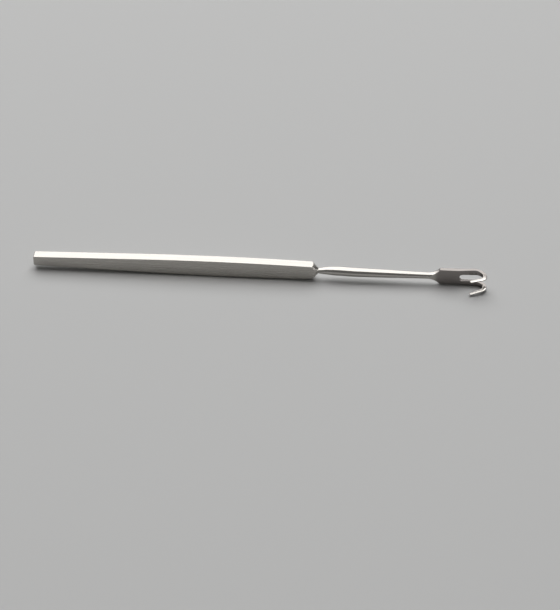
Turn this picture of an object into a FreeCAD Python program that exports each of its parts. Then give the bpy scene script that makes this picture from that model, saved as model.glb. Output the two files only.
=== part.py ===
import FreeCAD, Part
import math
import os

import Sketcher

vec = FreeCAD.Vector

# Sizes in millimetres and degrees. X runs from the rear end of the handle to the bend of the prongs.
sizes = {
    # Flat handle bar, tapered to the rear, with a shallow belly in front of the taper
    "handle_length": 104.0,
    "handle_width": 3.53,
    "rear_height": 3.95,
    "taper_length": 38.9,
    "taper_height": 5.98,
    "front_height": 5.84,
    "rear_corner_radius": 0.6,
    "handle_edge_radius": 0.3,
    # Turned cone that ends the bar, and the neck of the round shaft
    "cone_angle": 45.0,
    "neck_radius": 1.02,
    "neck_fillet": 0.8,
    "neck_seat": 0.8,
    # Round shaft with its swell and its waist
    "swell_length": 13.0,
    "swell_radius": 1.645,
    "shaft_taper_length": 17.0,
    "waist_length": 11.35,
    "waist_radius": 1.2,
    # Fork plate with its flats and its slot
    "flare_radius": 2.8,
    "plate_length": 7.0,
    "plate_height": 6.5,
    "plate_thickness": 1.36,
    "flat_runout": 3.8,
    "flat_length": 5.6,
    "slot_height": 2.76,
    "tine_length": 5.74,
    "tine_taper_length": 4.6,
    "tine_height": 2.15,
    "tine_thickness": 1.05,
    "fork_spread": 7.32,
    # Prongs, bent in two tangent arcs and drawn down to blunt tips
    "first_bend_radius": 4.3,
    "first_bend_angle": 50.0,
    "second_bend_radius": 1.75,
    "bend_angle": 156.0,
    "prong_length": 4.7,
    "nose_spacing": 4.7,
    "tip_spacing": 5.7,
    "prong_thickness": 1.0,
    "prong_height": 0.78,
    "prong_rounding": 0.3,
    "tine_rounding": 0.12,
    "tip_thickness": 0.92,
    "tip_height": 0.54,
    "tip_rounding": 0.22,
    "tip_end_radius": 0.18,
}

# Places along X that several features share
neck_x = "Sizes.handle_length"
cone_reach = "(Sizes.handle_width + Sizes.front_height) / 2"
foot_x = f"({neck_x} - ({cone_reach} - Sizes.neck_radius) / tan(Sizes.cone_angle))"
swell_x = "(Sizes.handle_length + Sizes.swell_length)"
taper_x = f"({swell_x} + Sizes.shaft_taper_length)"
waist_x = f"({taper_x} + Sizes.waist_length)"
flare_rise = "(Sizes.plate_height / 2 - Sizes.waist_radius)"
flare_run = f"sqrt(Sizes.flare_radius ^ 2 - (Sizes.flare_radius - {flare_rise}) ^ 2)"
plate_x = f"({waist_x} + {flare_run})"
slot_x = f"({plate_x} + Sizes.plate_length)"
bend_x = f"({slot_x} + Sizes.tine_length)"


def make_sheet(doc):
    sheet = doc.addObject("Spreadsheet::Sheet", "Sizes")
    for row, (name, value) in enumerate(sizes.items(), start=1):
        sheet.set(f"A{row}", name)
        sheet.set(f"B{row}", str(value))
        sheet.setAlias(f"B{row}", name)
    doc.recompute()
    return sheet


def add_sketch(body, name, role):
    plane = next(item for item in body.Origin.OriginFeatures if item.Role == role)
    sketch = body.newObject("Sketcher::SketchObject", name)
    sketch.AttachmentSupport = (plane, "")
    sketch.MapMode = "FlatFace"
    return sketch


def value_of(sketch, formula):
    # The number that a formula of sheet values stands for
    return float(sketch.evalExpression(formula))


def add_line(sketch, start, end):
    return sketch.addGeometry(Part.LineSegment(vec(*start, 0), vec(*end, 0)), False)


def add_arc(sketch, start, end, center):
    # An arc that turns anticlockwise from its start to its end
    first = math.atan2(start[1] - center[1], start[0] - center[0])
    last = math.atan2(end[1] - center[1], end[0] - center[0])
    radius = math.hypot(start[0] - center[0], start[1] - center[1])
    circle = Part.Circle(vec(*center, 0), vec(0, 0, 1), radius)
    return sketch.addGeometry(Part.ArcOfCircle(circle, first, last), False)


def relate(sketch, kind, *places):
    return sketch.addConstraint(Sketcher.Constraint(kind, *places))


def measure(sketch, kind, places, name, formula):
    # A dimension of the sketch that follows a formula of sheet values
    first_value = value_of(sketch, formula)
    number = sketch.addConstraint(Sketcher.Constraint(kind, *places, first_value))
    sketch.renameConstraint(number, name)
    sketch.setExpression(f"Constraints.{name}", formula)


def place_point(sketch, point, name, x_formula, y_formula):
    measure(sketch, "DistanceX", (-1, 1, *point), f"{name}_x", x_formula)
    measure(sketch, "DistanceY", (-1, 1, *point), f"{name}_y", y_formula)


def bar_profile(body):
    # Side outline of the bar: taper lines, each running through a long belly arc into a front line
    sketch = add_sketch(body, "BarProfile", "XZ_Plane")
    taper, corner, foot, neck = (
        value_of(sketch, formula)
        for formula in ("Sizes.taper_length", "Sizes.rear_corner_radius", foot_x, neck_x)
    )
    rear, middle, front = (
        value_of(sketch, f"Sizes.{name} / 2") for name in ("rear_height", "taper_height", "front_height")
    )
    slope = math.atan2(middle - rear, taper - corner)
    half_turn = slope - math.atan2(front - middle, foot - taper)
    belly = math.hypot(front - middle, foot - taper) / (2 * math.sin(half_turn))
    center = (taper + belly * math.sin(slope), middle - belly * math.cos(slope))
    end = front + (neck - foot) * math.tan(slope - 2 * half_turn)
    outline = {}
    for side, sign in (("upper", 1), ("lower", -1)):
        taper_line = add_line(sketch, (corner, sign * rear), (taper, sign * middle))
        front_line = add_line(sketch, (foot, sign * front), (neck, sign * end))
        ends = [(corner, sign * rear), (0, sign * (rear - corner))]
        round_corner = add_arc(sketch, *ends[::sign], (corner, sign * (rear - corner)))
        ends = [(foot, sign * front), (taper, sign * middle)]
        belly_arc = add_arc(sketch, *ends[::sign], (center[0], sign * center[1]))
        start, end_of_arc = (1, 2) if sign > 0 else (2, 1)
        relate(sketch, "Tangent", round_corner, start, taper_line, 1)
        relate(sketch, "Tangent", taper_line, 2, belly_arc, end_of_arc)
        relate(sketch, "Tangent", belly_arc, start, front_line, 1)
        outline[side] = (round_corner, taper_line, belly_arc, front_line)
    rear_line = add_line(sketch, (0, corner - rear), (0, rear - corner))
    front_edge = add_line(sketch, (neck, end), (neck, -end))
    upper, lower = outline["upper"], outline["lower"]
    relate(sketch, "Tangent", rear_line, 2, upper[0], 2)
    relate(sketch, "Tangent", rear_line, 1, lower[0], 1)
    relate(sketch, "Coincident", front_edge, 1, upper[3], 2)
    relate(sketch, "Coincident", front_edge, 2, lower[3], 2)
    relate(sketch, "PointOnObject", rear_line, 1, -2)
    relate(sketch, "PointOnObject", rear_line, 2, -2)
    relate(sketch, "Vertical", front_edge)
    for point in ((1, 1), (1, 2), (3, 1)):
        relate(sketch, "Symmetric", upper[point[0]], point[1], lower[point[0]], point[1], -1)
    measure(sketch, "Radius", (upper[0],), "corner", "Sizes.rear_corner_radius")
    measure(sketch, "DistanceY", (-1, 1, upper[1], 1), "rear_half", "Sizes.rear_height / 2")
    place_point(sketch, (upper[1], 2), "taper_end", "Sizes.taper_length", "Sizes.taper_height / 2")
    place_point(sketch, (upper[3], 1), "belly_end", foot_x, "Sizes.front_height / 2")
    measure(sketch, "DistanceX", (-1, 1, front_edge, 1), "front", neck_x)
    return sketch


def add_pad(body, name, sketch, length):
    pad = body.newObject("PartDesign::Pad", name)
    pad.Profile = sketch
    pad.Midplane = True
    pad.setExpression("Length", length)
    return pad


def add_cut_through(body, name, sketch):
    cut = body.newObject("PartDesign::Pocket", name)
    cut.Profile = sketch
    cut.Midplane = True
    cut.Type = "ThroughAll"
    return cut


def add_fillet(body, name, base, keep, radius):
    # Rounds the edges of the base that the test keeps
    names = [f"Edge{i}" for i, edge in enumerate(base.Shape.Edges, start=1) if keep(edge)]
    fillet = body.newObject("PartDesign::Fillet", name)
    fillet.Base = (base, names)
    fillet.setExpression("Radius", radius)
    return fillet


def add_bar(body):
    bar = add_pad(body, "Bar", bar_profile(body), "Sizes.handle_width")
    body.Document.recompute()
    side = bar.Shape.BoundBox.YMax

    def on_side_outline(edge):
        box = edge.BoundBox
        return box.YLength < 0.01 and abs(abs(box.YMax) - side) < 0.01 and box.XLength > 0.01

    add_fillet(body, "BarEdges", bar, on_side_outline, "Sizes.handle_edge_radius")
    sketch = add_sketch(body, "ConeCut", "XZ_Plane")
    past_x = f"{neck_x} + Sizes.neck_seat"
    points = [
        (neck_x, "Sizes.neck_radius"), (foot_x, cone_reach),
        (past_x, cone_reach), (past_x, "Sizes.neck_radius"),
    ]
    slant, over, down, back = closed_outline(sketch, points)
    relate(sketch, "Horizontal", over)
    relate(sketch, "Vertical", down)
    relate(sketch, "Horizontal", back)
    place_point(sketch, (slant, 1), "neck", *points[0])
    place_point(sketch, (slant, 2), "foot", *points[1])
    measure(sketch, "DistanceX", (-1, 1, down, 1), "past", past_x)
    cone = body.newObject("PartDesign::Groove", "Cone")
    cone.Profile = sketch
    cone.ReferenceAxis = (sketch, ["H_Axis"])
    cone.Angle = 360


def shaft_profile(body):
    # Half outline: neck, swell arc, long taper arc, waist arc and flare arc, each tangent to the next
    sketch = add_sketch(body, "ShaftProfile", "XZ_Plane")
    neck, swell, taper, waist, plate = (
        value_of(sketch, formula) for formula in (neck_x, swell_x, taper_x, waist_x, plate_x)
    )
    seat = value_of(sketch, f"{neck_x} - Sizes.neck_seat")
    neck_r = value_of(sketch, "Sizes.neck_radius")
    swell_r = value_of(sketch, "Sizes.swell_radius")
    waist_r = value_of(sketch, "Sizes.waist_radius")
    flare_r = value_of(sketch, "Sizes.flare_radius")
    plate_r = value_of(sketch, "Sizes.plate_height / 2")
    turn = 2 * math.atan2(swell_r - waist_r, waist - swell)
    taper_arc_r = (taper - swell) / math.sin(turn)
    waist_arc_r = (waist - taper) / math.sin(turn)
    taper_y = swell_r - taper_arc_r * (1 - math.cos(turn))
    rise = swell_r - neck_r
    swell_arc_r = ((swell - neck) ** 2 + rise**2) / (2 * rise)
    foot = add_line(sketch, (seat, 0), (seat, neck_r))
    root = add_line(sketch, (seat, neck_r), (neck, neck_r))
    swell_arc = add_arc(sketch, (swell, swell_r), (neck, neck_r), (swell, swell_r - swell_arc_r))
    taper_arc = add_arc(sketch, (taper, taper_y), (swell, swell_r), (swell, swell_r - taper_arc_r))
    waist_arc = add_arc(sketch, (taper, taper_y), (waist, waist_r), (waist, waist_r + waist_arc_r))
    flare_arc = add_arc(sketch, (waist, waist_r), (plate, plate_r), (waist, waist_r + flare_r))
    end = add_line(sketch, (plate, plate_r), (plate, 0))
    axis = add_line(sketch, (plate, 0), (seat, 0))
    relate(sketch, "Coincident", foot, 2, root, 1)
    relate(sketch, "Coincident", root, 2, swell_arc, 2)
    relate(sketch, "Coincident", swell_arc, 1, taper_arc, 2)
    relate(sketch, "Tangent", taper_arc, 1, waist_arc, 1)
    relate(sketch, "Coincident", waist_arc, 2, flare_arc, 1)
    relate(sketch, "Coincident", flare_arc, 2, end, 1)
    relate(sketch, "Coincident", end, 2, axis, 1)
    relate(sketch, "Coincident", axis, 2, foot, 1)
    relate(sketch, "Vertical", foot)
    relate(sketch, "Horizontal", root)
    relate(sketch, "Vertical", end)
    relate(sketch, "PointOnObject", foot, 1, -1)
    relate(sketch, "PointOnObject", end, 2, -1)
    relate(sketch, "Vertical", swell_arc, 1, swell_arc, 3)
    relate(sketch, "Vertical", taper_arc, 2, taper_arc, 3)
    relate(sketch, "Vertical", waist_arc, 2, waist_arc, 3)
    relate(sketch, "Vertical", flare_arc, 1, flare_arc, 3)
    measure(sketch, "DistanceX", (-1, 1, foot, 1), "seat", f"{neck_x} - Sizes.neck_seat")
    place_point(sketch, (root, 2), "neck", neck_x, "Sizes.neck_radius")
    place_point(sketch, (swell_arc, 1), "swell", swell_x, "Sizes.swell_radius")
    measure(sketch, "DistanceX", (-1, 1, taper_arc, 1), "taper", taper_x)
    place_point(sketch, (waist_arc, 2), "waist", waist_x, "Sizes.waist_radius")
    measure(sketch, "Radius", (flare_arc,), "flare", "Sizes.flare_radius")
    measure(sketch, "DistanceY", (-1, 1, end, 1), "plate_edge", "Sizes.plate_height / 2")
    return sketch


def add_shaft(body):
    shaft = body.newObject("PartDesign::Revolution", "Shaft")
    sketch = shaft_profile(body)
    shaft.Profile = sketch
    shaft.ReferenceAxis = (sketch, ["H_Axis"])
    shaft.Angle = 360
    body.Document.recompute()
    neck = value_of(sketch, neck_x)

    def is_neck(edge):
        box = edge.BoundBox
        return box.XLength < 0.01 and abs(box.XMax - neck) < 0.01

    add_fillet(body, "Neck", shaft, is_neck, "Sizes.neck_fillet")


def closed_outline(sketch, points):
    # Straight lines through the points and back to the first, each point held by its two formulas
    numbers = [[value_of(sketch, formula) for formula in point] for point in points]
    lines = [add_line(sketch, start, end) for start, end in zip(numbers, numbers[1:] + numbers[:1])]
    for first, second in zip(lines, lines[1:] + lines[:1]):
        relate(sketch, "Coincident", first, 2, second, 1)
    return lines


def add_fork_plate(body):
    sketch = add_sketch(body, "PlateOutline", "XZ_Plane")
    half = "Sizes.plate_height / 2"
    spread = "Sizes.fork_spread / 2"
    points = [
        (plate_x, half), (slot_x, half), (bend_x, spread),
        (bend_x, f"-{spread}"), (slot_x, f"-{half}"), (plate_x, f"-{half}"),
    ]
    lines = closed_outline(sketch, points)
    for upper, lower in ((0, 5), (1, 4), (2, 3)):
        relate(sketch, "Symmetric", lines[upper], 1, lines[lower], 1, -1)
    for number, name in enumerate(("plate", "slot", "tine")):
        place_point(sketch, (lines[number], 1), name, *points[number])
    add_pad(body, "Plate", sketch, "2 * Sizes.waist_radius")


def add_flats(body):
    # The two faces of the fork, ground flat from the waist of the shaft and thinner at the tines
    sketch = add_sketch(body, "Flats", "XY_Plane")
    start_x = f"({plate_x} - Sizes.flat_runout)"
    thin_x = f"({plate_x} + Sizes.flat_length)"
    tine_x = f"({thin_x} + Sizes.tine_taper_length)"
    reach = "Sizes.plate_height"
    thick = "Sizes.plate_thickness / 2"
    thin = "Sizes.tine_thickness / 2"
    points = [
        (plate_x, thick), (thin_x, thick), (tine_x, thin), (bend_x, thin),
        (bend_x, reach), (start_x, reach), (start_x, "Sizes.waist_radius"),
    ]
    numbers = [[value_of(sketch, formula) for formula in point] for point in points]
    run = numbers[0][0] - numbers[-1][0]
    rise = numbers[-1][1] - numbers[0][1]
    radius = (run**2 + rise**2) / (2 * rise)
    sides = []
    for sign in (1, -1):
        ends = [(x, sign * y) for x, y in numbers]
        lines = [add_line(sketch, start, end) for start, end in zip(ends, ends[1:])]
        center = (ends[0][0], sign * (numbers[0][1] + radius))
        order = (ends[-1], ends[0]) if sign > 0 else (ends[0], ends[-1])
        runout = add_arc(sketch, *order, center)
        for first, second in zip(lines, lines[1:]):
            relate(sketch, "Coincident", first, 2, second, 1)
        start, end = (1, 2) if sign > 0 else (2, 1)
        relate(sketch, "Coincident", runout, start, lines[-1], 2)
        relate(sketch, "Coincident", runout, end, lines[0], 1)
        relate(sketch, "Vertical", runout, end, runout, 3)
        sides.append(lines)
    upper, lower = sides
    for above, below in zip(upper, lower):
        relate(sketch, "Symmetric", above, 1, below, 1, -1)
    relate(sketch, "Symmetric", upper[-1], 2, lower[-1], 2, -1)
    names = ("plate", "thin", "tine", "bend", "far", "back")
    for line, name, point in zip(upper, names, points):
        place_point(sketch, (line, 1), name, *point)
    place_point(sketch, (upper[-1], 2), "start", *points[-1])
    add_cut_through(body, "FlatFaces", sketch)


def add_slot(body):
    # Open slot between the tines, with a round root
    sketch = add_sketch(body, "Slot", "XZ_Plane")
    inner = "(Sizes.fork_spread / 2 - Sizes.tine_height)"
    center_x = f"({slot_x} + Sizes.slot_height / 2)"
    root = value_of(sketch, center_x)
    half = value_of(sketch, "Sizes.slot_height / 2")
    end = value_of(sketch, bend_x)
    gap = value_of(sketch, inner)
    arc = add_arc(sketch, (root, half), (root, -half), (root, 0))
    lower = add_line(sketch, (root, -half), (end, -gap))
    mouth = add_line(sketch, (end, -gap), (end, gap))
    upper = add_line(sketch, (end, gap), (root, half))
    relate(sketch, "Coincident", arc, 2, lower, 1)
    relate(sketch, "Coincident", lower, 2, mouth, 1)
    relate(sketch, "Coincident", mouth, 2, upper, 1)
    relate(sketch, "Coincident", upper, 2, arc, 1)
    relate(sketch, "PointOnObject", arc, 3, -1)
    relate(sketch, "Vertical", arc, 1, arc, 2)
    relate(sketch, "Symmetric", mouth, 1, mouth, 2, -1)
    place_point(sketch, (arc, 1), "root", center_x, "Sizes.slot_height / 2")
    measure(sketch, "DistanceX", (-1, 1, arc, 3), "center", center_x)
    place_point(sketch, (mouth, 2), "mouth", bend_x, inner)
    add_cut_through(body, "SlotCut", sketch)


def between(first, second, share):
    return f"({first} + ({second} - {first}) * ({share}))"


def prong_station(turn, along="0"):
    # Place and size of a section after a turn round the bend and a length along the straight prong
    first = "Sizes.first_bend_radius"
    second = "Sizes.second_bend_radius"
    early = f"min({turn}; Sizes.first_bend_angle)"
    nose_run = "(Sizes.second_bend_radius * (Sizes.bend_angle - 90) * pi / 180)"
    run = f"(Sizes.second_bend_radius * max({turn} - 90; 0) * pi / 180 + {along})"
    tine_z = "((Sizes.fork_spread - Sizes.tine_height) / 2)"
    nose_z = between(tine_z, "Sizes.nose_spacing / 2", f"min({turn}; 90) / 90")
    spread = f"(Sizes.tip_spacing - Sizes.nose_spacing) / 2 * {run} / ({nose_run} + Sizes.prong_length)"
    station = {
        "turn": turn,
        "x": f"{bend_x} + {first} * sin({early}) + {second} * (sin({turn}) - sin({early}))"
        f" + {along} * cos({turn})",
        "out": f"{first} * (1 - cos({early})) + {second} * (cos({early}) - cos({turn}))"
        f" + {along} * sin({turn})",
        "middle": f"{nose_z} + {spread}",
    }
    for name in ("thickness", "height", "rounding"):
        bent = between(f"Sizes.tine_{name}", f"Sizes.prong_{name}", f"{turn} / Sizes.bend_angle")
        station[name] = between(bent, f"Sizes.tip_{name}", f"{along} / Sizes.prong_length")
    return station


def prong_section(body, name, station):
    # A rounded oblong across the prong, turned with the bend
    sketch = add_sketch(body, name, "YZ_Plane")
    turned = FreeCAD.Rotation(vec(0, 1, 0), -value_of(sketch, station["turn"]))
    sketch.AttachmentOffset = FreeCAD.Placement(vec(0, 0, 0), turned)
    sketch.setExpression("AttachmentOffset.Base.x", f"-({station['out']})")
    sketch.setExpression("AttachmentOffset.Base.y", station["middle"])
    sketch.setExpression("AttachmentOffset.Base.z", station["x"])
    sketch.setExpression("AttachmentOffset.Rotation.Angle", f"-({station['turn']})")
    thickness, height, rounding = (station[size] for size in ("thickness", "height", "rounding"))
    half_x = value_of(sketch, thickness) / 2
    half_y = value_of(sketch, height) / 2
    radius = value_of(sketch, rounding)
    flat_x, flat_y = half_x - radius, half_y - radius
    lines = [
        add_line(sketch, (-flat_x, -half_y), (flat_x, -half_y)),
        add_line(sketch, (half_x, -flat_y), (half_x, flat_y)),
        add_line(sketch, (flat_x, half_y), (-flat_x, half_y)),
        add_line(sketch, (-half_x, flat_y), (-half_x, -flat_y)),
    ]
    corners = [
        add_arc(sketch, (flat_x, -half_y), (half_x, -flat_y), (flat_x, -flat_y)),
        add_arc(sketch, (half_x, flat_y), (flat_x, half_y), (flat_x, flat_y)),
        add_arc(sketch, (-flat_x, half_y), (-half_x, flat_y), (-flat_x, flat_y)),
        add_arc(sketch, (-half_x, -flat_y), (-flat_x, -half_y), (-flat_x, -flat_y)),
    ]
    for number, corner in enumerate(corners):
        relate(sketch, "Tangent", lines[number], 2, corner, 1)
        relate(sketch, "Tangent", corner, 2, lines[(number + 1) % 4], 1)
    for corner in corners[1:]:
        relate(sketch, "Equal", corners[0], corner)
    relate(sketch, "Horizontal", lines[0])
    relate(sketch, "Horizontal", lines[2])
    relate(sketch, "Vertical", lines[1])
    relate(sketch, "Vertical", lines[3])
    relate(sketch, "Symmetric", lines[0], 1, lines[2], 1, -1, 1)
    measure(sketch, "Radius", (corners[0],), "rounding", rounding)
    measure(sketch, "DistanceX", (lines[3], 1, lines[1], 1), "across", thickness)
    measure(sketch, "DistanceY", (lines[0], 1, lines[2], 1), "tall", height)
    return sketch


def add_loft(body, name, sections):
    loft = body.newObject("PartDesign::AdditiveLoft", name)
    loft.Profile = sections[0]
    loft.Sections = sections[1:]
    return loft


def add_prongs(body):
    # One prong: a smooth loft round the bend, a tapered one to the tip, and both mirrored to the other tine
    first = "Sizes.first_bend_angle"
    last = "Sizes.bend_angle"
    turns = [
        "0", f"{first} / 2", first,
        between(first, last, "1 / 3"), between(first, last, "2 / 3"), last,
    ]
    stations = [prong_station(turn) for turn in turns]
    stations.append(prong_station(last, "Sizes.prong_length / 4"))
    stations.append(prong_station(last, "Sizes.prong_length"))
    sections = [
        prong_section(body, f"ProngSection{number}", station) for number, station in enumerate(stations)
    ]
    bend = add_loft(body, "ProngBend", sections[:-1])
    tip = add_loft(body, "ProngTip", sections[-2:])
    body.Document.recompute()
    other = body.newObject("PartDesign::Mirrored", "OtherProng")
    other.Originals = [bend, tip]
    plane = next(item for item in body.Origin.OriginFeatures if item.Role == "XY_Plane")
    other.MirrorPlane = (plane, [""])
    body.Tip = other
    body.Document.recompute()
    tip_turn = math.radians(value_of(sections[-1], last))
    outward = vec(math.cos(tip_turn), -math.sin(tip_turn), 0)
    end_edges = [
        edge for face in other.Shape.Faces if is_flat_end(face, outward) for edge in face.Edges
    ]

    def is_end_edge(edge):
        return any(edge.isSame(known) for known in end_edges)

    body.Tip = add_fillet(body, "RoundTips", other, is_end_edge, "Sizes.tip_end_radius")


def is_flat_end(face, outward):
    if not isinstance(face.Surface, Part.Plane):
        return False
    return face.normalAt(0, 0).getAngle(outward) < math.radians(1)


def build(doc):
    body = doc.addObject("PartDesign::Body", "Retractor")
    body.Label = "retractor"
    add_bar(body)
    add_shaft(body)
    add_fork_plate(body)
    add_flats(body)
    add_slot(body)
    add_prongs(body)
    doc.recompute()
    rest_on_floor(body)
    return body


def rest_on_floor(body):
    # The origin lies under the middle of the instrument, at the height of its lowest point
    box = body.Shape.optimalBoundingBox()
    body.Placement.Base = vec(-box.Center.x, -box.Center.y, -box.ZMin)
    body.Document.recompute()


# Each cut and the feature before it
cuts = {"Cone": "BarEdges", "FlatFaces": "Plate", "SlotCut": "FlatFaces"}


def check(doc, body):
    for item in doc.Objects:
        if "Invalid" in item.State or "Error" in item.State:
            raise RuntimeError(f"{item.Name} failed: {item.State}")
    if body.Shape.isNull() or not body.Shape.isValid():
        raise RuntimeError("the retractor has no valid shape")
    for name, before in cuts.items():
        removed = doc.getObject(before).Shape.Volume - doc.getObject(name).Shape.Volume
        print(name, "takes away", round(removed, 2), "cubic mm")
        if removed < 1:
            raise RuntimeError(f"{name} cuts nothing")


def main():
    doc = FreeCAD.newDocument("Retractor")
    make_sheet(doc)
    body = build(doc)
    check(doc, body)
    os.makedirs("parts", exist_ok=True)
    body.Shape.exportStep(f"parts/{body.Label}.step")
    print(body.Label, "solids", len(body.Shape.Solids), "volume", round(body.Shape.Volume, 2))


main()
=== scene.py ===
import bmesh
import bpy
import math
from mathutils import Matrix, Vector


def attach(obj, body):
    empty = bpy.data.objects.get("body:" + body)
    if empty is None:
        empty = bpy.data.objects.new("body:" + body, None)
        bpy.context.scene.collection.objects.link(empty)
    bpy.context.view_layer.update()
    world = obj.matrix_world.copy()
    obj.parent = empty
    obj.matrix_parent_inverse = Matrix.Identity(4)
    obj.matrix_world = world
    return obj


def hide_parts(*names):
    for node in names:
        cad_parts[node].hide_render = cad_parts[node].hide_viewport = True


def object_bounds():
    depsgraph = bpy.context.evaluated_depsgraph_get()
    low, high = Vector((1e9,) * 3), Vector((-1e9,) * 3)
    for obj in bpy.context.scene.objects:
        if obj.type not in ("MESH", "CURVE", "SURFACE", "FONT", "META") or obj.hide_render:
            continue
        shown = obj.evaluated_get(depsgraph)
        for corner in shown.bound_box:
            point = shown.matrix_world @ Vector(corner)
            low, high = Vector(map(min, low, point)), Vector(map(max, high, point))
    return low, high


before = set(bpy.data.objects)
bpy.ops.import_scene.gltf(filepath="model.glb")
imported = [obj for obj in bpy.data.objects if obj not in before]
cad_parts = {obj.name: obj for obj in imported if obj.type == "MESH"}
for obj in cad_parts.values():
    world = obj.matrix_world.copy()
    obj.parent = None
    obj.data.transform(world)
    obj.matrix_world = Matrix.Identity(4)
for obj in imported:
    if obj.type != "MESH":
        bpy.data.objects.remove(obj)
cadLow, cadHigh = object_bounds()
print("frame loaded", sorted(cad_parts))

# Pieces are shaped in millimetres: x runs from the rear end, and the instrument's axis is the x axis
mm = 0.001
near = 1e-3  # millimetres: two places nearer than this count as one
past = 1.0  # how far a cutting form goes past what it cuts
mergeMm = {"turned": 1e-5, "fork": 1e-4, "joined": 2e-3}  # points this near to each other are merged
scene = bpy.context.scene


def newPiece(name, bm, material=None):
    bmesh.ops.recalc_face_normals(bm, faces=bm.faces)
    mesh = bpy.data.meshes.new(name)
    bm.to_mesh(mesh)
    bm.free()
    piece = bpy.data.objects.new(name, mesh)
    scene.collection.objects.link(piece)
    if material:
        mesh.materials.append(material)
    return piece


def settle(piece):  # applies the modifiers to the mesh
    graph = bpy.context.evaluated_depsgraph_get()
    mesh = bpy.data.meshes.new_from_object(piece.evaluated_get(graph))
    piece.modifiers.clear()
    piece.data = mesh


def combine(base, tool, operation):
    boolean = base.modifiers.new("combine", "BOOLEAN")
    boolean.operation = operation
    boolean.solver = "EXACT"
    boolean.object = tool
    settle(base)
    bpy.data.objects.remove(tool)


def arcPoints(start, end, center, steps):  # from start to end the short way round
    first = math.atan2(start[1] - center[1], start[0] - center[0])
    turn = math.atan2(end[1] - center[1], end[0] - center[0]) - first
    turn = (turn + math.pi) % (2 * math.pi) - math.pi
    radius = math.hypot(start[0] - center[0], start[1] - center[1])
    angles = [first + turn * step / steps for step in range(steps + 1)]
    return [(center[0] + radius * math.cos(a), center[1] + radius * math.sin(a)) for a in angles]


def sideForm(outline, halfWidth, upright=True):  # an outline pushed through, across y or along z
    bm = bmesh.new()
    low = [(x, -halfWidth, z) if upright else (x, z, -halfWidth) for x, z in outline]
    face = bm.faces.new([bm.verts.new(point) for point in low])
    through = bmesh.ops.extrude_face_region(bm, geom=[face])["geom"]
    moved = [item for item in through if isinstance(item, bmesh.types.BMVert)]
    push = (0, 2 * halfWidth, 0) if upright else (0, 0, 2 * halfWidth)
    bmesh.ops.translate(bm, verts=moved, vec=push)
    return bm


def turnedForm(profile, steps):  # a profile that starts and ends on the x axis, spun full circle
    bm = bmesh.new()
    rim = [bm.verts.new((x, 0, radius)) for x, radius in profile]
    edges = [bm.edges.new(pair) for pair in zip(rim, rim[1:])]
    bmesh.ops.spin(
        bm, geom=rim + edges, cent=(0, 0, 0), axis=(1, 0, 0), dvec=(0, 0, 0),
        angle=2 * math.pi, steps=steps, use_merge=True, use_duplicate=False,
    )
    bmesh.ops.remove_doubles(bm, verts=bm.verts, dist=mergeMm["turned"])
    return bm


def bothSides(points):  # the same outline below the axis, back to the start
    return points + [(x, -z) for x, z in reversed(points)]


# Flat handle bar with a shallow belly, its long edges rounded and its front end turned to a cone
handle = {
    "length": 104.0, "width": 3.53, "rearHeight": 3.95, "taperLength": 38.9, "taperHeight": 5.98,
    "frontHeight": 5.84, "rearCorner": 0.6, "edgeRadius": 0.3, "coneAngle": 45.0,
    "neckRadius": 1.02, "edgeSteps": 5, "bellySteps": 28, "cornerSteps": 6,
    "cutReach": 12.0,  # past every corner of the bar
}
axisY, axisZ = cadHigh.y - handle["width"] / 2 * mm, (cadLow.z + cadHigh.z) / 2  # in metres
coneReach = (handle["width"] + handle["frontHeight"]) / 2
coneSlope = math.tan(math.radians(handle["coneAngle"]))
footX = handle["length"] - (coneReach - handle["neckRadius"]) / coneSlope


def barOutline():
    corner, taper = handle["rearCorner"], handle["taperLength"]
    rear, middle, front = (handle[size] / 2 for size in ("rearHeight", "taperHeight", "frontHeight"))
    slope = math.atan2(middle - rear, taper - corner)
    halfTurn = slope - math.atan2(front - middle, footX - taper)
    belly = math.hypot(front - middle, footX - taper) / (2 * math.sin(halfTurn))
    center = (taper + belly * math.sin(slope), middle - belly * math.cos(slope))
    end = front + (handle["length"] - footX) * math.tan(slope - 2 * halfTurn)
    points = arcPoints((0, rear - corner), (corner, rear), (corner, rear - corner), handle["cornerSteps"])
    points += arcPoints((taper, middle), (footX, front), center, handle["bellySteps"])
    return bothSides(points + [(handle["length"], end)])


def makeBar():
    half = handle["width"] / 2
    bm = sideForm(barOutline(), half)
    front = handle["length"] - near
    rims = [
        edge for edge in bm.edges
        if abs(edge.verts[0].co.y - edge.verts[1].co.y) < near and min(v.co.x for v in edge.verts) < front
    ]
    bmesh.ops.bevel(
        bm, geom=rims, offset=handle["edgeRadius"], offset_type="OFFSET", segments=handle["edgeSteps"],
        profile=0.5, affect="EDGES", material=-1, clamp_overlap=False,
    )
    bar = newPiece("retractorSteel", bm)
    endX, endRadius, reach = handle["length"], handle["neckRadius"], handle["cutReach"]
    coneX = endX - (reach - endRadius) / coneSlope
    profile = [(-past, 0), (-past, reach), (coneX, reach), (endX, endRadius), (endX, 0)]
    cone = turnedForm(profile, shaft["steps"])
    combine(bar, newPiece("cone", cone), "INTERSECT")
    return bar


# Round shaft: neck, swell, long taper, waist and flare, each arc tangent to the next
shaft = {
    "seat": 0.8, "neckFillet": 0.8, "neckRadius": 0.95, "swellLength": 8.0, "swellRadius": 1.7,
    "taperLength": 22.0, "waistLength": 9.911, "waistRadius": 1.2, "flareRadius": 5.2, "seatStep": 0.1,
    "crook": 0.2, "crookMm": (104.2, 107.4, 111.0, 118.0),  # the neck sits a little high
    "steps": 144, "filletSteps": 6, "swellSteps": 30, "taperSteps": 24, "waistSteps": 20, "flareSteps": 24,
}
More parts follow.
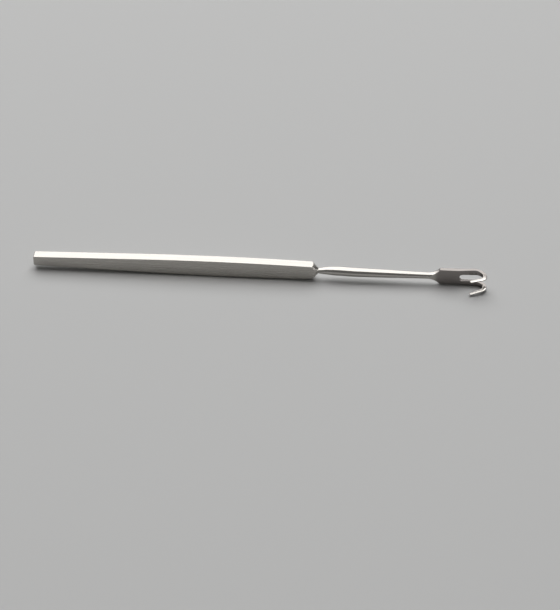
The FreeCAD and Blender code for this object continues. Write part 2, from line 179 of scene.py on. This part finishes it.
# Fork plate with ground flats, an open slot and two tines
fork = {
    "plateLength": 7.0, "plateHeight": 6.5, "plateThickness": 1.36, "flatRunout": 3.8, "flatLength": 5.6,
    "slotHeight": 2.76, "tineLength": 5.74, "tineTaperLength": 4.6, "tineHeight": 2.15,
    "tineThickness": 1.05, "spread": 7.32, "edgeRadius": 0.12, "cornerAngle": 40.0, "overlap": 0.4,
    "cutReach": 6.0, "cutBefore": 4.0, "runoutExtra": 2.0, "endExtra": 0.5,  # how far the cutters go
    "slotSteps": 24, "runoutSteps": 14, "edgeSteps": 8,
}
swellX = handle["length"] + shaft["swellLength"]
taperX = swellX + shaft["taperLength"]
waistX = taperX + shaft["waistLength"]
flareRise = fork["plateHeight"] / 2 - shaft["waistRadius"]
plateX = waistX + math.sqrt(shaft["flareRadius"] ** 2 - (shaft["flareRadius"] - flareRise) ** 2)
slotX = plateX + fork["plateLength"]
bendX = slotX + fork["tineLength"]


def makeShaft():
    neckX = handle["length"]
    neckR, swellR, waistR = (shaft[size] for size in ("neckRadius", "swellRadius", "waistRadius"))
    turn = 2 * math.atan2(swellR - waistR, waistX - swellX)
    taperArc = (taperX - swellX) / math.sin(turn)
    waistArc = (waistX - taperX) / math.sin(turn)
    taperR = swellR - taperArc * (1 - math.cos(turn))
    rise = swellR - neckR
    swellArc = (shaft["swellLength"] ** 2 + rise**2) / (2 * rise)
    swell = arcPoints((neckX, neckR), (swellX, swellR), (swellX, swellR - swellArc), shaft["swellSteps"])
    lift = math.atan2(swell[1][1] - swell[0][1], swell[1][0] - swell[0][0])
    reach = shaft["neckFillet"] * math.tan(lift / 2)
    fillet = arcPoints(
        (neckX - reach, neckR), (neckX + reach * math.cos(lift), neckR + reach * math.sin(lift)),
        (neckX - reach, neckR + shaft["neckFillet"]), shaft["filletSteps"],
    )
    seatX = neckX - shaft["seat"]
    profile = [(seatX, 0), (seatX, neckR - shaft["seatStep"])] + fillet + swell[1:]
    swellEnd, taperEnd, waistEnd = (swellX, swellR), (taperX, taperR), (waistX, waistR)
    flareEnd = (plateX, fork["plateHeight"] / 2)
    profile += arcPoints(swellEnd, taperEnd, (swellX, swellR - taperArc), shaft["taperSteps"])[1:]
    profile += arcPoints(taperEnd, waistEnd, (waistX, waistR + waistArc), shaft["waistSteps"])[1:]
    flareCenter = (waistX, waistR + shaft["flareRadius"])
    profile += arcPoints(waistEnd, flareEnd, flareCenter, shaft["flareSteps"])[1:]
    bm = turnedForm(profile + [(plateX, 0)], shaft["steps"])
    for vert in bm.verts:
        vert.co.z += crookAt(vert.co.x)
    return newPiece("shaft", bm)


def crookAt(x):
    risen, level, falling, gone = shaft["crookMm"]
    rise = min(max((x - risen) / (level - risen), 0), 1)
    fall = min(max((gone - x) / (gone - falling), 0), 1)
    share = min(rise, fall)
    return shaft["crook"] * share**2 * (3 - 2 * share)


def forkOutline():
    half, spread = fork["plateHeight"] / 2, fork["spread"] / 2
    start = (plateX - fork["overlap"], shaft["waistRadius"])
    return bothSides([start, (plateX, half), (slotX, half), (bendX, spread)])


def flatsOutline():  # seen from above: what is left between the two ground faces
    thick, thin = fork["plateThickness"] / 2, fork["tineThickness"] / 2
    rise = shaft["waistRadius"] - thick
    radius = (fork["flatRunout"] ** 2 + rise**2) / (2 * rise)
    startX = plateX - fork["flatRunout"] - fork["runoutExtra"]  # past the shaft's surface
    startY = thick + radius - math.sqrt(radius**2 - (plateX - startX) ** 2)
    runout = arcPoints((startX, startY), (plateX, thick), (plateX, thick + radius), fork["runoutSteps"])
    thinX = plateX + fork["flatLength"]
    points = [(handle["length"] - fork["cutBefore"], fork["cutReach"]), (startX, fork["cutReach"])]
    points += runout + [(thinX, thick), (thinX + fork["tineTaperLength"], thin)]
    return bothSides(points + [(bendX + fork["endExtra"], thin)])


def slotOutline():
    half = fork["slotHeight"] / 2
    mouth = fork["spread"] / 2 - fork["tineHeight"]
    center = slotX + half
    root = arcPoints((center, half), (slotX, 0), (center, 0), fork["slotSteps"] // 2)
    lower = [(x, -z) for x, z in reversed(root[:-1])]
    return root + lower + [(bendX + past, -mouth), (bendX + past, mouth)]


def makeFork():
    piece = makeShaft()
    reach = fork["cutReach"]
    combine(piece, newPiece("plate", sideForm(forkOutline(), shaft["waistRadius"])), "UNION")
    combine(piece, newPiece("flats", sideForm(flatsOutline(), reach, upright=False)), "INTERSECT")
    combine(piece, newPiece("slot", sideForm(slotOutline(), reach)), "DIFFERENCE")
    bm = bmesh.new()
    bm.from_mesh(piece.data)
    bmesh.ops.remove_doubles(bm, verts=bm.verts, dist=mergeMm["fork"])
    roundForkEdges(bm)
    for side in (1, -1):
        growProng(bm, side)
    bmesh.ops.recalc_face_normals(bm, faces=bm.faces)
    bm.to_mesh(piece.data)
    bm.free()
    return piece


def atBend(item):
    return all(abs(vert.co.x - bendX) < near for vert in item.verts)


def roundForkEdges(bm):
    rims = [
        edge for edge in bm.edges
        if min(vert.co.x for vert in edge.verts) > plateX - near and not atBend(edge)
        and edge.calc_length() > near and edge.calc_face_angle(0) > math.radians(fork["cornerAngle"])
        and max(vert.co.x for vert in edge.verts) > plateX + near
    ]
    bmesh.ops.bevel(
        bm, geom=rims, offset=fork["edgeRadius"], offset_type="OFFSET", segments=fork["edgeSteps"],
        profile=0.5, affect="EDGES", material=-1, clamp_overlap=False,
    )


# Prongs: bent in two tangent arcs, drawn down along their length to blunt rounded tips
prong = {
    "firstRadius": 4.3, "firstAngle": 50.0, "secondRadius": 1.75, "bendAngle": 156.0, "length": 4.9,
    "noseSpacing": 4.7, "tipSpacing": 5.7, "noseThickness": 1.6, "thickness": 1.4, "height": 0.8,
    "rounding": (0.62, 0.38), "tipThickness": 1.04, "tipHeight": 0.56, "tipRounding": (0.45, 0.26),
    "outerReach": 0.5, "tipOuterReach": 0.37,  # from the route to the outer face
    "tipEnd": 0.18, "leastRounding": 0.02, "bendSteps": 52, "straightSteps": 12, "endSteps": 6,
}


def mix(first, second, share):
    return first + (second - first) * share


def prongStation(turn, along):  # place, lean and size of one section
    early = math.radians(min(turn, prong["firstAngle"]))
    angle = math.radians(turn)
    first, second = prong["firstRadius"], prong["secondRadius"]
    noseRun = second * math.radians(prong["bendAngle"] - 90)
    run = second * math.radians(max(turn - 90, 0)) + along
    tineZ = (fork["spread"] - fork["tineHeight"]) / 2
    z = mix(tineZ, prong["noseSpacing"] / 2, min(turn, 90) / 90)
    z += (prong["tipSpacing"] - prong["noseSpacing"]) / 2 * run / (noseRun + prong["length"])
    x = bendX + first * math.sin(early) + second * (math.sin(angle) - math.sin(early))
    out = first * (1 - math.cos(early)) + second * (math.cos(early) - math.cos(angle))
    x, out = x + along * math.cos(angle), out + along * math.sin(angle)
    bent, drawn = turn / prong["bendAngle"], along / prong["length"]
    thickness = mix(fork["tineThickness"], prong["noseThickness"], min(turn / 90, 1))
    thickness = mix(thickness, prong["thickness"], max(turn - 90, 0) / (prong["bendAngle"] - 90))
    thickness = mix(thickness, prong["tipThickness"], drawn)
    height = mix(mix(fork["tineHeight"], prong["height"], bent), prong["tipHeight"], drawn)
    rounding = [
        mix(mix(fork["edgeRadius"], bentSize, min(turn / 90, 1)), tipSize, drawn)
        for bentSize, tipSize in zip(prong["rounding"], prong["tipRounding"])
    ]
    outer = mix(mix(fork["tineThickness"] / 2, prong["outerReach"], bent), prong["tipOuterReach"], drawn)
    inward = Vector((math.sin(angle), math.cos(angle), 0)) * (outer - thickness / 2)
    return Vector((x, -out, z)) + inward, angle, (thickness, height, *rounding)


def sectionRing(bm, side, place, angle, sizes):
    thickness, height, roundX, roundZ = sizes
    flatX, flatZ = thickness / 2 - roundX, height / 2 - roundZ
    ring = []
    for signX, signZ, start in ((1, 1, 0), (-1, 1, 90), (-1, -1, 180), (1, -1, 270)):
        for step in range(fork["edgeSteps"] + 1):
            around = math.radians(start + 90 * step / fork["edgeSteps"])
            across = signX * flatX + roundX * math.cos(around)
            up = signZ * flatZ + roundZ * math.sin(around)
            point = place + Vector((across * math.sin(angle), across * math.cos(angle), up))
            ring.append(bm.verts.new((point.x, point.y, point.z * side)))
    return ring


def growProng(bm, side):  # opens the end of a tine and carries it on round the bend
    ends = [face for face in bm.faces if atBend(face) and face.calc_center_median().z * side > 0]
    bmesh.ops.delete(bm, geom=ends, context="FACES_ONLY")
    opened = [
        edge for edge in bm.edges
        if atBend(edge) and edge.is_boundary and edge.verts[0].co.z * side > 0
    ]
    stations = [
        prongStation(prong["bendAngle"] * step / prong["bendSteps"], 0)
        for step in range(1, prong["bendSteps"] + 1)
    ]
    straight = prong["length"] - prong["tipEnd"]
    stations += [
        prongStation(prong["bendAngle"], straight * step / prong["straightSteps"])
        for step in range(1, prong["straightSteps"] + 1)
    ]
    rings = [sectionRing(bm, side, *station) for station in stations]
    for step in range(1, prong["endSteps"] + 1):  # the rounded end draws in
        closing = math.pi / 2 * step / prong["endSteps"]
        drawn = prong["tipEnd"] * (1 - math.cos(closing))
        along = straight + prong["tipEnd"] * math.sin(closing)
        place, angle, (thickness, height, *rounding) = prongStation(prong["bendAngle"], along)
        corners = (max(radius - drawn, prong["leastRounding"]) for radius in rounding)
        small = (thickness - 2 * drawn, height - 2 * drawn, *corners)
        rings.append(sectionRing(bm, side, place, angle, small))
    loops = [opened] + [[bm.edges.new(pair) for pair in zip(ring, ring[1:] + ring[:1])] for ring in rings]
    for first, second in zip(loops, loops[1:]):
        bmesh.ops.bridge_loops(bm, edges=first + second)
    bm.faces.new(rings[-1])


def weld(piece):  # takes out the slivers that the joining leaves
    bm = bmesh.new()
    bm.from_mesh(piece.data)
    bmesh.ops.remove_doubles(bm, verts=bm.verts, dist=mergeMm["joined"])
    bmesh.ops.dissolve_degenerate(bm, edges=bm.edges, dist=near)
    bm.to_mesh(piece.data)
    bm.free()


def makeRetractor(material):
    piece = makeBar()
    combine(piece, makeFork(), "UNION")
    weld(piece)
    print("forms joined", len(piece.data.polygons))
    place = Vector((cadLow.x, axisY, axisZ))
    piece.data.transform(Matrix.Translation(place) @ Matrix.Scale(mm, 4))
    piece.data.materials.clear()
    piece.data.materials.append(material)
    piece.data.shade_smooth()
    piece.data.set_sharp_from_angle(angle=math.radians(steel["sharpAngle"]))
    weighted = piece.modifiers.new("faces stay flat", "WEIGHTED_NORMAL")
    weighted.keep_sharp = True
    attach(piece, "root")
    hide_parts("retractor")
    return piece


# Stainless steel: the handle brushed along its length, the shaft polished, the fork polished and painted
# darker, a painted dark reflection of what it mirrors
steel = {
    "handleColor": (0.43, 0.413, 0.386), "forkPaintedShadeColor": (0.235, 0.218, 0.207),
    "satinRoughness": 0.26, "polishedRoughness": 0.13, "roughnessSpread": 0.12,
    "polishMm": (102.4, 103.0), "forkMm": (145.6, 147.6), "prongMm": (2.8, 3.8), "slotMm": (154.9, 155.1),
    "slotHeightMm": 1.6, "slotDepthMm": 0.52, "slotRoughness": 0.5, "slotPaintedShade": 0.6,
    "broadLineMm": (26.0, 0.45), "broadDetail": 3.0, "broadShare": 0.6,
    "fineLineMm": (7.0, 0.09), "fineDetail": 2.0, "fineShare": 0.4,
    "lineRoughness": 0.55, "lineRange": (0.3, 0.7), "lineDepthMm": 0.0008, "toneSpread": 0.22,
    "smudgeMm": 8.0, "smudgeDetail": 4.0, "polishedCalm": 0.6, "polishedSmooth": 0.85, "sharpAngle": 28.0,
}


def addNode(tree, kind, inputs=None, **settings):
    node = tree.nodes.new(kind)
    for name, value in settings.items():
        setattr(node, name, value)
    for name, value in (inputs or {}).items():
        if isinstance(value, bpy.types.NodeSocket):
            tree.links.new(value, node.inputs[name])
        else:
            node.inputs[name].default_value = value
    return node


def zoneAlong(tree, value, zoneMm, origin):  # 0 before the start, 1 past the end
    start, end = zoneMm
    limits = {"From Min": origin + start * mm, "From Max": origin + end * mm, "Value": value}
    return addNode(tree, "ShaderNodeMapRange", limits, interpolation_type="SMOOTHSTEP").outputs["Result"]


def brushLines(tree, place, size, detail):
    length, width = size
    scale = (1 / (length * mm), 1 / (width * mm), 1 / (width * mm))
    stretched = addNode(tree, "ShaderNodeMapping", {"Vector": place, "Scale": scale})
    noise = {"Vector": stretched.outputs["Vector"], "Scale": 1.0, "Detail": detail}
    noise["Roughness"] = steel["lineRoughness"]
    return addNode(tree, "ShaderNodeTexNoise", noise).outputs["Fac"]


def mixed(tree, kind, factor, first, second):
    node = addNode(tree, "ShaderNodeMix", data_type=kind)
    for name, value in (("Factor", factor), ("A", first), ("B", second)):
        socket = next(item for item in node.inputs if item.name == name and item.enabled)
        if isinstance(value, bpy.types.NodeSocket):
            tree.links.new(value, socket)
        else:
            socket.default_value = value
    return next(item for item in node.outputs if item.enabled)


def mathNode(tree, operation, *values):
    return addNode(tree, "ShaderNodeMath", dict(enumerate(values)), operation=operation).outputs[0]


def steelMaterial():
    material = bpy.data.materials.new("brushedSteel")
    material.use_nodes = True
    tree = material.node_tree
    shader = tree.nodes["Principled BSDF"]
    shader.inputs["Metallic"].default_value = 1.0
    place = addNode(tree, "ShaderNodeTexCoord").outputs["Object"]
    x, y, z = addNode(tree, "ShaderNodeSeparateXYZ", {"Vector": place}).outputs

    # Where the steel is polished, the fork painted darker as a painted dark reflection, its prongs kept
    # out of that painted shade, and the walls of the slot
    polished = zoneAlong(tree, x, steel["polishMm"], cadLow.x)
    forkZone = zoneAlong(tree, x, steel["forkMm"], cadLow.x)
    onProng = zoneAlong(tree, mathNode(tree, "MULTIPLY", y, -1.0), steel["prongMm"], -axisY)
    onProng = mathNode(tree, "MULTIPLY", onProng, forkZone)
    # The fork mask carries painted shade: the fork past its prongs gets a darker colour
    paintedForkShade = mathNode(tree, "MULTIPLY", forkZone, mathNode(tree, "SUBTRACT", 1.0, onProng))
    # Inside the slot the walls get rougher and also painted shade: their colour is scaled down in the
    # recess
    deep = mathNode(tree, "COMPARE", y, axisY, steel["slotDepthMm"] * mm)
    between = mathNode(tree, "COMPARE", z, axisZ, steel["slotHeightMm"] * mm)
    inSlot = mathNode(tree, "MULTIPLY", deep, between)
    inSlot = mathNode(tree, "MULTIPLY", inSlot, zoneAlong(tree, x, steel["slotMm"], cadLow.x))

    # Brush lines run along the instrument, and smudges lie on the polish
    broad = brushLines(tree, place, steel["broadLineMm"], steel["broadDetail"])
    fine = brushLines(tree, place, steel["fineLineMm"], steel["fineDetail"])
    fine = mathNode(tree, "MULTIPLY", fine, steel["fineShare"])
    lines = mathNode(tree, "ADD", mathNode(tree, "MULTIPLY", broad, steel["broadShare"]), fine)
    faint, strong = steel["lineRange"]
    limits = {"Value": lines, "From Min": faint, "From Max": strong}
    lines = addNode(tree, "ShaderNodeMapRange", limits).outputs["Result"]
    smudge = {"Vector": place, "Scale": 1 / (steel["smudgeMm"] * mm), "Detail": steel["smudgeDetail"]}
    smudges = addNode(tree, "ShaderNodeTexNoise", smudge).outputs["Fac"]

    spread = steel["roughnessSpread"]
    satinRough = mathNode(tree, "MULTIPLY_ADD", lines, spread, steel["satinRoughness"] - spread / 2)
    polishRough = steel["polishedRoughness"] - spread / 4
    polishRough = mathNode(tree, "MULTIPLY_ADD", smudges, spread / 2, polishRough)
    rough = mixed(tree, "FLOAT", polished, satinRough, polishRough)
    rough = mixed(tree, "FLOAT", inSlot, rough, steel["slotRoughness"])
    tree.links.new(rough, shader.inputs["Roughness"])

    # The lines also vary the colour, less where it is polished
    # The fork's base colour is painted shade, darker to stand in for the dark surroundings it reflects
    base = mixed(tree, "RGBA", paintedForkShade, (*steel["handleColor"], 1), (*steel["forkPaintedShadeColor"], 1))
    tone = mathNode(tree, "SUBTRACT", lines, 0.5)
    tone = mathNode(tree, "MULTIPLY_ADD", tone, steel["toneSpread"], 1.0)
    calm = mathNode(tree, "MULTIPLY", polished, steel["polishedCalm"])
    tone = mixed(tree, "FLOAT", calm, tone, 1.0)
    # Painted shade in the slot: the colour inside the recess is scaled down
    tone = mixed(tree, "FLOAT", inSlot, tone, steel["slotPaintedShade"])
    toned = addNode(tree, "ShaderNodeVectorMath", {0: base, "Scale": tone}, operation="SCALE")
    tree.links.new(toned.outputs[0], shader.inputs["Base Color"])

    brushed = mathNode(tree, "MULTIPLY", polished, steel["polishedSmooth"])
    brushed = mathNode(tree, "SUBTRACT", 1.0, brushed)
    bump = {"Distance": steel["lineDepthMm"] * mm, "Strength": brushed, "Height": lines}
    normal = addNode(tree, "ShaderNodeBump", bump).outputs["Normal"]
    tree.links.new(normal, shader.inputs["Normal"])
    return material


retractor = makeRetractor(steelMaterial())
print("retractor built", len(retractor.data.polygons))

# Camera: looks down on the instrument, which lies a little turned, its prongs nearer
view = {
    "elevation": 40.0, "turn": 4.0, "focalPixels": 2540.0, "imageWidth": 560, "imageHeight": 610,
    "middleX": 259.3, "middleY": 268.0, "distance": 0.923, "sensorMm": 36.0, "clipStart": 0.01,
}


def makeCamera():
    elevation, turn = math.radians(view["elevation"]), math.radians(view["turn"])
    right = Vector((math.cos(turn), math.sin(turn), 0))
    ahead = Vector((-math.sin(turn), math.cos(turn), 0))
    look = ahead * math.cos(elevation) - Vector((0, 0, math.sin(elevation)))
    up = ahead * math.sin(elevation) + Vector((0, 0, math.cos(elevation)))
    middle = Vector((0, axisY, axisZ))
    sideways = (view["middleX"] - view["imageWidth"] / 2) / view["focalPixels"]
    upwards = (view["imageHeight"] / 2 - view["middleY"]) / view["focalPixels"]
    data = bpy.data.cameras.new("camera")
    data.sensor_fit = "VERTICAL"
    data.sensor_height = view["sensorMm"]
    data.lens = view["focalPixels"] * data.sensor_height / view["imageHeight"]
    data.clip_start = view["clipStart"]
    camera = bpy.data.objects.new("camera", data)
    turned = Matrix((right, up, -look)).transposed().to_4x4()
    place = middle - view["distance"] * (look + sideways * right + upwards * up)
    camera.matrix_world = Matrix.Translation(place) @ turned
    scene.collection.objects.link(camera)
    scene.camera = camera


makeCamera()
print("camera set")

# Plain pale floor
floor = {"halfWidth": 3.0, "color": (0.6, 0.6, 0.595), "roughness": 0.9, "specular": 0.1}


def makeFloor():
    bm = bmesh.new()
    bmesh.ops.create_grid(bm, x_segments=1, y_segments=1, size=floor["halfWidth"])
    material = bpy.data.materials.new("paleFloor")
    material.use_nodes = True
    shader = material.node_tree.nodes["Principled BSDF"]
    shader.inputs["Base Color"].default_value = (*floor["color"], 1)
    shader.inputs["Roughness"].default_value = floor["roughness"]
    shader.inputs["Specular IOR Level"].default_value = floor["specular"]
    newPiece("floor", bm, material)


makeFloor()

# Soft studio light: one large softbox behind and above, and the wide panels that only the steel mirrors
panels = {
    "softbox": {
        "azimuth": -8, "elevation": 59, "distance": 2.5, "width": 3.0, "height": 2.7, "level": 2.8,
        "mirrored": False,
    },
    "backPanel": {
        "azimuth": -12, "elevation": 37, "distance": 1.0, "width": 2.4, "height": 1.3, "level": 2.22,
    },
    "overheadPanel": {
        "azimuth": 0, "elevation": 93, "distance": 1.0, "width": 2.4, "height": 0.86, "level": 2.35,
    },
    "rightPanel": {
        "azimuth": 114, "elevation": 38, "distance": 1.0, "width": 1.4, "height": 1.0, "level": 2.4,
    },
}
worldLevels = {"ambient": 0.08, "mirrored": 0.2}  # the room's own light, and what the steel shows of it


def makePanel(name, azimuth, elevation, distance, width, height, level, mirrored=True):
    data = bpy.data.lights.new(name, "AREA")
    data.shape = "RECTANGLE"
    data.size, data.size_y = width, height
    data.energy = level * math.pi * width * height  # the level is what a mirror shows of the panel
    turn, rise = math.radians(azimuth), math.radians(elevation)
    lamp = bpy.data.objects.new(name, data)
    outward = Vector((math.sin(turn) * math.cos(rise), math.cos(turn) * math.cos(rise), math.sin(rise)))
    lamp.location = outward * distance
    lamp.rotation_euler = outward.to_track_quat("Z", "Y").to_euler()
    lamp.visible_camera = False
    lamp.visible_glossy = mirrored
    lamp.visible_diffuse = not mirrored
    scene.collection.objects.link(lamp)


for name, panel in panels.items():
    makePanel(name, **panel)


def makeWorld():
    world = bpy.data.worlds.new("studio")
    world.use_nodes = True
    tree = world.node_tree
    background = tree.nodes["Background"]
    background.inputs["Color"].default_value = (1, 1, 1, 1)
    seenInSteel = addNode(tree, "ShaderNodeLightPath").outputs["Is Glossy Ray"]
    level = mixed(tree, "FLOAT", seenInSteel, worldLevels["ambient"], worldLevels["mirrored"])
    tree.links.new(level, background.inputs["Strength"])
    scene.world = world


makeWorld()
scene.view_settings.view_transform = "Standard"
print("light set", len(panels))
